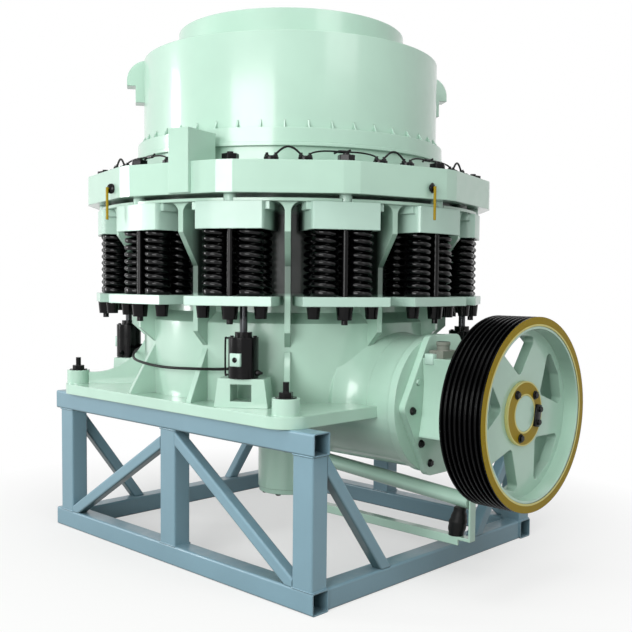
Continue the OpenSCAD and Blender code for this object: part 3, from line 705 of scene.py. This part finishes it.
class CRUSHER_OT_bolts(bpy.types.Operator):
    """Put bolts and washers on the flanges, covers and hubs"""

    bl_idname = "crusher.bolts"
    bl_label = "Bolts and washers"

    def execute(self, context):
        sizes = context.scene.crusher_bolts
        tree = bolt_tree()

        def bolts(name, points, radius, facing_way, body, slot="black_paint", tall=0.75, washer=1.45):
            mesh = bpy.data.meshes.new(name)
            mesh.from_pydata(points, [], [])
            values = {
                "Head radius": radius,
                "Head height": radius * tall,
                "Washer radius": radius * washer,
                "Washer height": radius * WASHER,
                "Facing": facing_way,
            }
            grow(name, mesh, tree, values, body, slot)

        def on_flange(spots):
            x = high_of("countershaft_box").x
            return [SHAFT + Vector((x, side * y * MM, z * MM)) for y, z in spots for side in (-1, 1)]

        def on_tops(node, height):
            return [Vector(((a.x + b.x) / 2, (a.y + b.y) / 2, height)) for a, b in solids(node)]

        bolts("flange_bolts", on_flange(FLANGE_BOLTS), sizes.flange, OUT, "frame", washer=1.12)
        painted = on_flange(PAINTED_BOLTS)
        bolts("painted_bolts", painted, sizes.cover, OUT, "frame", "mint_paint", tall=0.45, washer=1.1)
        hub = high_of("pulley_bush").x
        spots = [on_shaft(hub, HUB_CIRCLE, clock) for clock in HUB_CLOCKS]
        bolts("hub_bolts", spots, sizes.hub, OUT, "drive", washer=1.2)
        housing = high_of("box_end_cover").x
        spots = [on_shaft(housing, HOUSING_CIRCLE, 22.5 + 45 * i) for i in range(8)]
        bolts("housing_bolts", spots, sizes.cover, OUT, "frame")
        cover = low_of("bottom_cover").z
        spots = [around(COVER_CIRCLE, 22.5 + 45 * i, cover) for i in range(8)]
        bolts("cover_bolts", spots, sizes.cover, DOWN, "frame")
        plate = high_of("feed_plate").z
        spots = [around(FEED_CIRCLE, 30 + 60 * i, plate) for i in range(6)]
        bolts("feed_plate_bolts", spots, sizes.flange, UP, "frame", "manganese_steel")
        bolts("ring_washers", on_tops("spring_bolts", RING_TOP), sizes.ring, UP, "ring", tall=0.2, washer=1.3)
        studs = on_tops("foundation_bolts", high_of("foundation_bolts").z - BASE_STUD)
        bolts("foundation_washers", studs, sizes.base, UP, "frame", tall=0.3, washer=1.6)
        lids = on_tops("jack_rods", high_of("jack_cylinders").z - JACK_LID)
        spots = [lid + outward(turn) * JACK_CIRCLE for lid in lids for turn in JACK_TURNS]
        bolts("jack_screws", spots, sizes.small, UP, "frame", washer=1.1)
        return {"FINISHED"}


# ---- Hoses ----


class CrusherHoses(bpy.types.PropertyGroup):
    """Sizes of the hydraulic hoses."""

    clamp: bpy.props.FloatProperty(name="Clamp hose", description="Diameter", default=0.010, unit="LENGTH")
    link: bpy.props.FloatProperty(name="Link hose", description="Diameter", default=0.008, unit="LENGTH")
    jack: bpy.props.FloatProperty(name="Jack hose", description="Diameter", default=0.014, unit="LENGTH")
    arch: bpy.props.FloatProperty(name="Arch", description="Height of an arch", default=0.036, unit="LENGTH")
    rest: bpy.props.FloatProperty(name="Rest", description="Drop to a gusset", default=0.038, unit="LENGTH")


# Turned pieces of the hoses, as pairs of radius and height.
CLAMP_PORT = ((0.011, 0), (0.011, 0.010), (0.007, 0.012), (0.007, 0.020))
CLAMP_CAP = ((0.031, -0.002), (0.028, 0.004), (0.010, 0.005))
UNION = ((0.017, -0.010), (0.017, 0.020), (0.0155, 0.022), (0.0155, 0.028))
UNION_SLEEVE = ((0.011, 0.006), (0.011, 0.040), (0.009, 0.044))
LUG_SLEEVE = ((0.0075, 0), (0.0075, 0.038))
PRONG = 0.005

# A clamp's two ports stand to either side of its middle, and its hoses leave them at a height over its top.
PORT_OFFSET = 0.020
PORT_HEIGHT = 0.012

# A hose joins two clamps on one flat over a narrow gap in degrees, and clamps on two flats over a wider one.
FLAT_GAP = 12
CORNER_GAP = 25

# The arched hose as parts of its span and its rise.
ARCH = ((0.0, 0.0), (0.12, 0.38), (0.3, 0.82), (0.5, 1.0), (0.7, 0.82), (0.88, 0.38), (1.0, 0.0))

# The corner's lug holds the link hose this far inside the clamps' circle and over their tops. The half length
# of its sleeve and the starts and ends of its prongs are in degrees.
LUG_INSIDE = 0.034
LUG_HEIGHT = 0.036
LUG_HALF = 1.1
PRONG_START = 1.2
PRONG_END = 2.4
PRONG_RISE = 0.010

# The jack hose over a quarter of its round, as degrees from a jack and parts of its drop, and the radius of
# the plain hose in its place.
QUARTER = ((0, 0.0), (4, 0.03), (12, 0.22), (27, 0.8), (42, 1.0), (57, 1.15), (72, 1.0), (83, 0.8), (88, 0.2))
PLAIN_HOSE = 0.011


class CRUSHER_OT_hoses(bpy.types.Operator):
    """Run the clamp hoses over the adjusting ring and the jack hose round the shell"""

    bl_idname = "crusher.hoses"
    bl_label = "Hoses"

    def clamps(self, sizes):
        """An arched hose between the two clamps of a flat, and a lower one past the bolt to the next flat."""
        boxes = solids("clamp_cylinders")
        spots = sorted((angle_of(low, high), high.z) for low, high in boxes)
        top = spots[0][1]
        radius = sum(((low + high) / 2 - AXIS).xy.length for low, high in boxes) / len(boxes)
        inset = math.degrees(PORT_OFFSET / radius)
        angles = [angle for angle, _ in spots]
        ports, lugs = bmesh.new(), bmesh.new()
        for count, (angle, after) in enumerate(zip(angles, angles[1:] + [angles[0] + 360])):
            gap = after - angle
            for side in (-1, 1):
                place = facing(angle, around(radius, angle + side * inset, top))
                turned(ports, place, CLAMP_PORT, 12)
            turned(ports, facing(angle, around(radius, angle, top)), CLAMP_CAP, 28)
            if gap < FLAT_GAP:
                start = around(radius, angle + inset, top + PORT_HEIGHT)
                end = around(radius, after - inset, top + PORT_HEIGHT)
                path = [start.lerp(end, t) + Vector((0, 0, sizes.arch)) * h for t, h in ARCH]
                hose(f"clamp_hose_{count:02d}", smooth_path(path, 4), sizes.clamp, "ring")
            elif gap < CORNER_GAP:
                leave = (
                    (inset, radius, top + PORT_HEIGHT),
                    (1.8 * inset, radius - 0.004, top + 0.023),
                    (0.25 * gap, radius - 0.016, top + 0.033),
                )
                lug = (radius - LUG_INSIDE, angle + gap / 2, top + LUG_HEIGHT)
                path = [around(r, angle + turn, z) for turn, r, z in leave] + [around(*lug)]
                path += [around(r, after - turn, z) for turn, r, z in reversed(leave)]
                hose(f"link_hose_{count:02d}", smooth_path(path, 5), sizes.link, "ring")
                self.lug(lugs, *lug)
        close_mesh("clamp_ports", ports, "ring", "black_paint")
        close_mesh("hose_lugs", lugs, "ring", "black_paint")

    def lug(self, work, radius, angle, height):
        """A forked strap that holds a hose beside a bolt's nut."""
        for side in (-1, 1):
            start = around(radius, angle + side * PRONG_START, height)
            end = around(radius + 4 * MM, angle + side * PRONG_END, height + side * PRONG_RISE)
            turned(work, along(start, end), [(PRONG, 0), (PRONG, (end - start).length)], 8)
        sleeve = along(around(radius, angle - LUG_HALF, height), around(radius, angle + LUG_HALF, height))
        turned(work, sleeve, LUG_SLEEVE, 12)

    def jacks(self, sizes):
        """The hose that joins the jacks round the shell. It drops from each jack to the fins and gussets."""
        low, high = low_of("jack_hose"), high_of("jack_hose")
        level = (low.z + high.z) / 2
        radius = max(AXIS.x - low.x, high.y) - PLAIN_HOSE
        starts = sorted(angle_of(a, b) % 360 for a, b in solids("jack_rods"))
        route = []
        for start in starts[:-1]:
            route += [around(radius, start + turn, level - drop * sizes.rest) for turn, drop in QUARTER]
        path = smooth_path(route + [around(radius, starts[-1], level)], 4)
        piece = hose("jack_hose_run", path, sizes.jack, "frame")
        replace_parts(piece, "jack_hose")
        unions = bmesh.new()
        for angle in starts:
            union = around(radius, angle, level)
            turned(unions, facing(angle, union) @ TO_X, UNION, 6)
            for side in (-1, 1):
                if starts[0] <= angle + side <= starts[-1]:
                    sleeve = along(union, around(radius, angle + side * 4, level - 1 * MM))
                    turned(unions, sleeve, UNION_SLEEVE, 20)
        close_mesh("hose_unions", unions, "frame", "black_paint")

    def execute(self, context):
        sizes = context.scene.crusher_hoses
        self.clamps(sizes)
        self.jacks(sizes)
        return {"FINISHED"}


# ---- Fittings ----

# A jack's port plate: its turn from the jack's radius, its distance from the jack's axis, its height over the
# jack's foot, and its size.
PORT_TURN = -15
PORT_REACH = 0.071
PORT_LEVEL = 0.088
PORT_SIZE = (0.016, 0.054, 0.060)
PORT_PLUG = ((0.012, 0), (0.012, 0.0105), (0.008, 0.012))

# The nipple at a jack's foot, and the thin pipe up its side as distances from the jack's axis and heights.
NIPPLE_TURN = 80
NIPPLE_LEVEL = 0.026
NIPPLE = ((0.014, 0), (0.014, 0.012), (0.008, 0.022), (0.006, 0.030))
JACK_SIDE = 0.066
PIPE_TURN = -100
PIPE_RADIUS = 0.0045
PIPE_RUN = ((0.066, 0.012), (0.086, 0.012), (0.093, 0.020), (0.093, 0.172), (0.086, 0.182), (0.064, 0.182))

# A ball knob: its collar and its tip as parts of its radius, the heights of its centre and its tip, half the
# ball's height, and the angles of the ball's outline. The ring's flats face 15 degrees and every 30 on, and a
# knob is turned 30 degrees from its own.
COLLAR = 0.62
TIP = 0.2
BALL_CENTRE = 0.011
BALL_HALF = 0.0108
BALL_TOP = 0.0219
BALL_ANGLES = range(-40, 86, 18)
FIRST_FLAT = 15
FLAT_STEP = 30
KNOB_TURN = 30

# The drain boot's outline as parts of its half width and its height, its lean, and the shift of its foot.
BOOT = (
    (0.74, 0.0), (0.80, 0.01), (0.82, 0.12), (0.92, 0.2), (0.95, 0.3), (0.93, 0.4), (0.97, 0.46),
    (0.93, 0.55), (0.84, 0.62), (0.83, 0.7), (0.74, 0.78), (0.66, 0.84), (0.66, 0.97), (0.6, 1.0),
)
BOOT_LEAN = 0.16
BOOT_SHIFT = 0.012

# The lock plate on the bush: its clock, its circle, its height over the bush, its size and its two nuts.
LOCK_CLOCK = 100
LOCK_CIRCLE = 0.101
LOCK_STAND = 0.006
LOCK_SIZE = (0.014, 0.104, 0.046)
LOCK_EDGE = 0.006
LOCK_NUT = ((0.015, 0.005), (0.015, 0.016), (0.012, 0.019))
LOCK_NUT_AT = 0.03

# The breather's filler cap, its sight plug and the oil filler box in front of it.
FILLER_CAP = ((0.030, -0.018), (0.0335, -0.016), (0.0335, -0.002), (0.030, 0.0))
SIGHT_PLUG = ((0.012, -0.002), (0.012, 0.007), (0.008, 0.009))
SIGHT_PLACE = Vector((-0.01, 0, 0.018))
FILLER_PLACE = Vector((0.018, -0.012, -0.004))
FILLER_SIZE = (0.050, 0.034, 0.052)
FILLER_EDGE = 0.004


class CRUSHER_OT_fittings(bpy.types.Operator):
    """Fit the jacks' ports and pipes, the knobs, the drain boot, the lock plate and the breather's cap"""

    bl_idname = "crusher.fittings"
    bl_label = "Fittings"

    def jack_fittings(self):
        """A pale port plate with a plug, a nipple and a thin pipe on each jack."""
        plates, plugs, pipes = bmesh.new(), bmesh.new(), bmesh.new()
        base = low_of("jack_cylinders").z
        for low, high in solids("jack_rods"):
            angle = angle_of(low, high)
            foot = (low + high) / 2
            foot.z = base
            out = outward(angle + PORT_TURN)
            place = facing(angle + PORT_TURN, foot + out * PORT_REACH + Vector((0, 0, PORT_LEVEL)))
            block(plates, place, PORT_SIZE, 2 * MM)
            turned(plugs, place @ TO_X, PORT_PLUG, 20)
            out = outward(angle + NIPPLE_TURN)
            at = foot + out * JACK_SIDE + Vector((0, 0, NIPPLE_LEVEL))
            turned(plugs, along(at, at + out), NIPPLE, 16)
            out = outward(angle + PIPE_TURN)
            path = smooth_path([foot + out * r + Vector((0, 0, z)) for r, z in PIPE_RUN], 3)
            for start, end in zip(path, path[1:]):
                length = (end - start).length + 0.5 * MM
                turned(pipes, along(start, end), [(PIPE_RADIUS, 0), (PIPE_RADIUS, length)], 10)
        close_mesh("jack_ports", plates, "frame", "pale_mint_paint")
        close_mesh("jack_port_plugs", plugs, "frame", "black_paint")
        close_mesh("jack_pipes", pipes, "frame", "black_paint")

    def knobs(self):
        """Ball knobs on short collars in place of the plain ones."""
        work = bmesh.new()
        for low, high in solids("setting_knobs"):
            at = (low + high) / 2
            radius = (high.z - low.z) / 2
            flat = round((angle_of(low, high) - FIRST_FLAT) / FLAT_STEP) * FLAT_STEP + FIRST_FLAT
            place = along(at - outward(flat + KNOB_TURN) * BALL_CENTRE, at)
            knob = [(radius * COLLAR, 0), (radius * COLLAR, 3 * MM)]
            for turn in map(math.radians, BALL_ANGLES):
                knob.append((radius * math.cos(turn), BALL_CENTRE + BALL_HALF * math.sin(turn)))
            turned(work, place, knob + [(radius * TIP, BALL_TOP)], 28)
        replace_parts(close_mesh("ball_knobs", work, "ring", "black_paint"), "setting_knobs")

    def boot(self):
        """The rubber boot under the oil drain, full at the foot, narrow above and leaning to the pulley."""
        low, high, at = low_of("drain_hose"), high_of("drain_hose"), middle("drain_hose")
        wide, tall = (high.y - low.y) / 2, high.z - low.z
        lean = Matrix(((1, 0, BOOT_LEAN, 0), (0, 1, 0, 0), (0, 0, 1, 0), (0, 0, 0, 1)))
        foot = Matrix.Translation((at.x - BOOT_SHIFT, at.y, low.z))
        work = bmesh.new()
        turned(work, foot @ lean, [(r * wide, z * tall) for r, z in BOOT], 40)
        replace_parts(close_mesh("drain_boot", work, "frame", "black_rubber"), "drain_hose")

    def lock_plate(self):
        """The lock plate on the face of the pulley's bush."""
        work = bmesh.new()
        at = on_shaft(high_of("pulley_bush").x + LOCK_STAND, LOCK_CIRCLE, LOCK_CLOCK)
        place = Matrix.Translation(at) @ Matrix.Rotation(-math.radians(LOCK_CLOCK), 4, "X")
        block(work, place, LOCK_SIZE, LOCK_EDGE)
        for side in (-LOCK_NUT_AT, LOCK_NUT_AT):
            turned(work, place @ Matrix.Translation((0, side, 0)) @ TO_X, LOCK_NUT, 6)
        close_mesh("lock_plate", work, "drive", "black_paint")

    def breather_cap(self):
        """A filler cap and a sight plug on the breather, and the oil filler box in front of it."""
        low, high, at = low_of("breather"), high_of("breather"), middle("breather")
        work = bmesh.new()
        turned(work, Matrix.Translation((at.x, at.y, high.z)), FILLER_CAP, 24)
        side = Matrix.Translation(Vector((at.x, low.y, low.z)) + SIGHT_PLACE)
        turned(work, side @ TO_FRONT, SIGHT_PLUG, 6)
        close_mesh("breather_cap", work, "frame", "brown_primer")
        box = bmesh.new()
        block(box, Matrix.Translation(low + FILLER_PLACE), FILLER_SIZE, FILLER_EDGE)
        close_mesh("oil_filler_box", box, "frame", "pale_mint_paint")

    def execute(self, context):
        self.jack_fittings()
        self.knobs()
        self.boot()
        self.lock_plate()
        self.breather_cap()
        return {"FINISHED"}


# ---- Welds ----


class CrusherWelds(bpy.types.PropertyGroup):
    """Sizes of the weld beads."""

    bead: bpy.props.FloatProperty(name="Bead", description="Radius of a bead", default=0.0045, unit="LENGTH")
    rim: bpy.props.FloatProperty(name="Rim", description="Cap's bead radius", default=0.006, unit="LENGTH")
    ripple: bpy.props.FloatProperty(name="Ripple", description="Ripple length", default=0.008, unit="LENGTH")


# A ripple's least and greatest swell.
SWELL = (0.75, 1.2)
SWELL_SEED = 11


def weld_tree():
    """A rippled bead along each edge of a mesh."""
    tree, node, given = start_tree("Weld beads", ("Bead radius", "Float"), ("Ripple", "Float"))
    line = node("GeometryNodeMeshToCurve", {"Mesh": given["Geometry"]})
    cut = node("GeometryNodeResampleCurve", {"Curve": line, "Length": given["Ripple"]}, mode="LENGTH")
    chance = {2: SWELL[0], 3: SWELL[1], "Seed": SWELL_SEED}
    swell = node("FunctionNodeRandomValue", chance, 1, data_type="FLOAT")
    wide = node("Math", (swell, given["Bead radius"]), operation="MULTIPLY")
    profile = node("GeometryNodeCurvePrimitiveCircle", {"Resolution": 6, "Radius": 1.0})
    sweep = {"Curve": cut, "Profile Curve": profile, "Scale": wide, "Fill Caps": True}
    bead = node("GeometryNodeCurveToMesh", sweep)
    return end_tree(tree, node("GeometryNodeSetShadeSmooth", (bead,)), given["Material"])


class CRUSHER_OT_welds(bpy.types.Operator):
    """Lay weld beads round the stand's joints and the hopper's foot"""

    bl_idname = "crusher.welds"
    bl_label = "Weld beads"

    def execute(self, context):
        sizes = context.scene.crusher_welds
        tree = weld_tree()

        def beads(name, loops, body, slot, radius):
            points, lines = [], []
            for loop in loops:
                first = len(points)
                points += loop
                lines += [(first + i, first + i + 1) for i in range(len(loop) - 1)]
            mesh = bpy.data.meshes.new(name)
            mesh.from_pydata(points, lines, [])
            grow(name, mesh, tree, {"Bead radius": radius, "Ripple": sizes.ripple}, body, slot)

        def rectangle(low, high, height):
            corners = ((low.x, low.y), (high.x, low.y), (high.x, high.y), (low.x, high.y), (low.x, low.y))
            return [Vector((x, y, height)) for x, y in corners]

        def gate(low, high, y):
            foot = low.z + 2 * sizes.bead
            corners = ((low.x, foot), (low.x, high.z), (high.x, high.z), (high.x, foot))
            return [Vector((x, y, z)) for x, z in corners]

        loops = []
        for low, high in solids("stand_posts"):
            loops += [rectangle(low, high, low.z), rectangle(low, high, high.z)]
        for node in ("stand_bottom_cross_rails", "stand_top_cross_rail"):
            for low, high in solids(node):
                loops += [gate(low, high, low.y), gate(low, high, high.y)]
        beads("stand_welds", loops, "frame", "stand_paint", sizes.bead)
        rim, foot = half_width("feed_hopper"), low_of("feed_hopper").z
        ring = [around(rim, 2 * i, foot) for i in range(181)]
        beads("cap_welds", [ring], "ring", "mint_paint", sizes.rim)
        return {"FINISHED"}


# ---- Studio ----

# The camera's place from the foot of the crusher's axis, and the way that it looks, in degrees.
CAMERA_AT = Vector((3.595, -3.522, 1.408))
CAMERA_HEADING = 43.86
CAMERA_DIP = 3.435
CAMERA_ROLL = 0.528
CAMERA_LENS = 50.6
CAMERA_SHIFT = 0.033

# The lamps face the axis at this height: name, place from there, width, height and power.
LIT_HEIGHT = 1.2
LAMPS = (
    ("key", (-5.2, -5.0, 1.2), 1.0, 3.0, 200),
    ("front", (2.4, -7.0, 1.2), 4.0, 3.0, 310),
    ("top", (1.5, -2.0, 6.5), 4.0, 4.0, 190),
    ("side", (6.5, -1.0, 4.0), 3.0, 3.0, 80),
)

# The room's light on the machine, where 1 is the white that the camera sees.
SKY = 0.34

# The floor: half its side, its colour, and the distances from the axis between which it fades to white.
FLOOR_REACH = 60.0
FLOOR = "#d9dad8"
FADE_START = 1.0
FADE_END = 2.6


def seen(node):
    """1 for the rays that come from the camera, a reflection or glass, and 0 for the light on the machine."""
    rays = node("LightPath").node.outputs
    either = node("Math", (rays["Is Camera Ray"], rays["Is Glossy Ray"]), operation="MAXIMUM")
    return node("Math", (either, rays["Is Transmission Ray"]), operation="MAXIMUM")


class CRUSHER_OT_studio(bpy.types.Operator):
    """Set the floor, the lamps and the camera"""

    bl_idname = "crusher.studio"
    bl_label = "Studio"

    def floor(self):
        """A pale floor that fades to the white of the room away from the machine's shadow."""
        mesh = bpy.data.meshes.new("floor")
        corners = [(x * FLOOR_REACH, y * FLOOR_REACH, 0) for x, y in ((-1, -1), (1, -1), (1, 1), (-1, 1))]
        mesh.from_pydata(corners, [], [(0, 1, 2, 3)])
        material, node, place = start_material("pale studio floor")
        matt = node("BsdfDiffuse", {"Color": linear(FLOOR), "Roughness": 1.0})
        glow = node("Emission", {"Color": linear("#ffffff"), "Strength": 1.0})
        away = node("VectorMath", (place, AXIS), "Value", operation="DISTANCE")
        fade_out = node("MapRange", (away, FADE_START, FADE_END, 0.5, 1.0))
        share = node("Math", (fade_out, seen(node)), operation="MULTIPLY")
        node("OutputMaterial", {"Surface": node("MixShader", (share, matt, glow))})
        mesh.materials.append(material)
        piece = bpy.data.objects.new("floor", mesh)
        bpy.context.collection.objects.link(piece)

    def lamp(self, name, at, wide, tall, power):
        """A rectangular area lamp that faces the machine."""
        data = bpy.data.lights.new(name, "AREA")
        data.shape = "RECTANGLE"
        data.size = wide
        data.size_y = tall
        data.energy = power
        piece = bpy.data.objects.new(name, data)
        piece.location = AXIS + Vector((0, 0, LIT_HEIGHT)) + Vector(at)
        piece.rotation_euler = (-Vector(at)).to_track_quat("-Z", "Y").to_euler()
        bpy.context.collection.objects.link(piece)

    def sky(self):
        """An even white room, seen as white behind the machine."""
        world = bpy.data.worlds.new("studio")
        bpy.context.scene.world = world
        world.use_nodes = True
        world.node_tree.nodes.clear()
        node = partial(add, world.node_tree)
        strength = node("MapRange", (seen(node), 0.0, 1.0, SKY, 1.0))
        light = node("Background", {"Color": linear("#ffffff"), "Strength": strength})
        node("OutputWorld", {"Surface": light})

    def camera(self):
        """A camera at the left front of the drive, a little above the middle of the machine."""
        data = bpy.data.cameras.new("camera")
        data.lens = CAMERA_LENS
        data.sensor_width = 36
        data.shift_y = CAMERA_SHIFT
        piece = bpy.data.objects.new("camera", data)
        bpy.context.collection.objects.link(piece)
        heading, dip = math.radians(CAMERA_HEADING), math.radians(CAMERA_DIP)
        level = math.cos(dip)
        ahead = Vector((-math.sin(heading) * level, math.cos(heading) * level, -math.sin(dip)))
        aim = ahead.to_track_quat("-Z", "Y").to_matrix().to_4x4()
        roll = Matrix.Rotation(math.radians(CAMERA_ROLL), 4, "Z")
        piece.matrix_world = Matrix.Translation(AXIS + CAMERA_AT) @ aim @ roll
        bpy.context.scene.camera = piece

    def execute(self, context):
        context.scene.view_settings.view_transform = "Standard"
        self.camera()
        self.floor()
        self.sky()
        for lamp in LAMPS:
            self.lamp(*lamp)
        return {"FINISHED"}


class CRUSHER_PT_panel(bpy.types.Panel):
    """Lists what the add-on makes"""

    bl_label = "Cone crusher"
    bl_idname = "CRUSHER_PT_panel"
    bl_space_type = "VIEW_3D"
    bl_region_type = "UI"
    bl_category = "Crusher"

    def draw(self, context):
        column = self.layout.column()
        for group in SETTINGS:
            settings = getattr(context.scene, group)
            for name in settings.bl_rna.properties.keys():
                if name not in ("rna_type", "name"):
                    column.prop(settings, name)
        for operator in OPERATORS:
            column.operator(operator.bl_idname)


SETTINGS = {
    "crusher_finish": CrusherFinish,
    "crusher_springs": CrusherSprings,
    "crusher_bolts": CrusherBolts,
    "crusher_hoses": CrusherHoses,
    "crusher_welds": CrusherWelds,
}
OPERATORS = (
    CRUSHER_OT_studio,
    CRUSHER_OT_finishes,
    CRUSHER_OT_hoses,
    CRUSHER_OT_springs,
    CRUSHER_OT_bolts,
    CRUSHER_OT_fittings,
    CRUSHER_OT_welds,
)
CLASSES = tuple(SETTINGS.values()) + OPERATORS + (CRUSHER_PT_panel,)


def register():
    """Registers the classes and hangs the settings on the scene."""
    for kind in CLASSES:
        bpy.utils.register_class(kind)
    for name, kind in SETTINGS.items():
        setattr(bpy.types.Scene, name, bpy.props.PointerProperty(type=kind))


def unregister():
    """Takes the settings and the classes away again."""
    for name in SETTINGS:
        delattr(bpy.types.Scene, name)
    for kind in reversed(CLASSES):
        bpy.utils.unregister_class(kind)


def main():
    """Builds the machine's finish in order."""
    register()
    bpy.ops.crusher.studio()
    bpy.ops.crusher.finishes()
    bpy.ops.crusher.hoses()
    bpy.ops.crusher.springs()
    bpy.ops.crusher.bolts()
    bpy.ops.crusher.fittings()
    bpy.ops.crusher.welds()


if __name__ == "__main__":
    main()
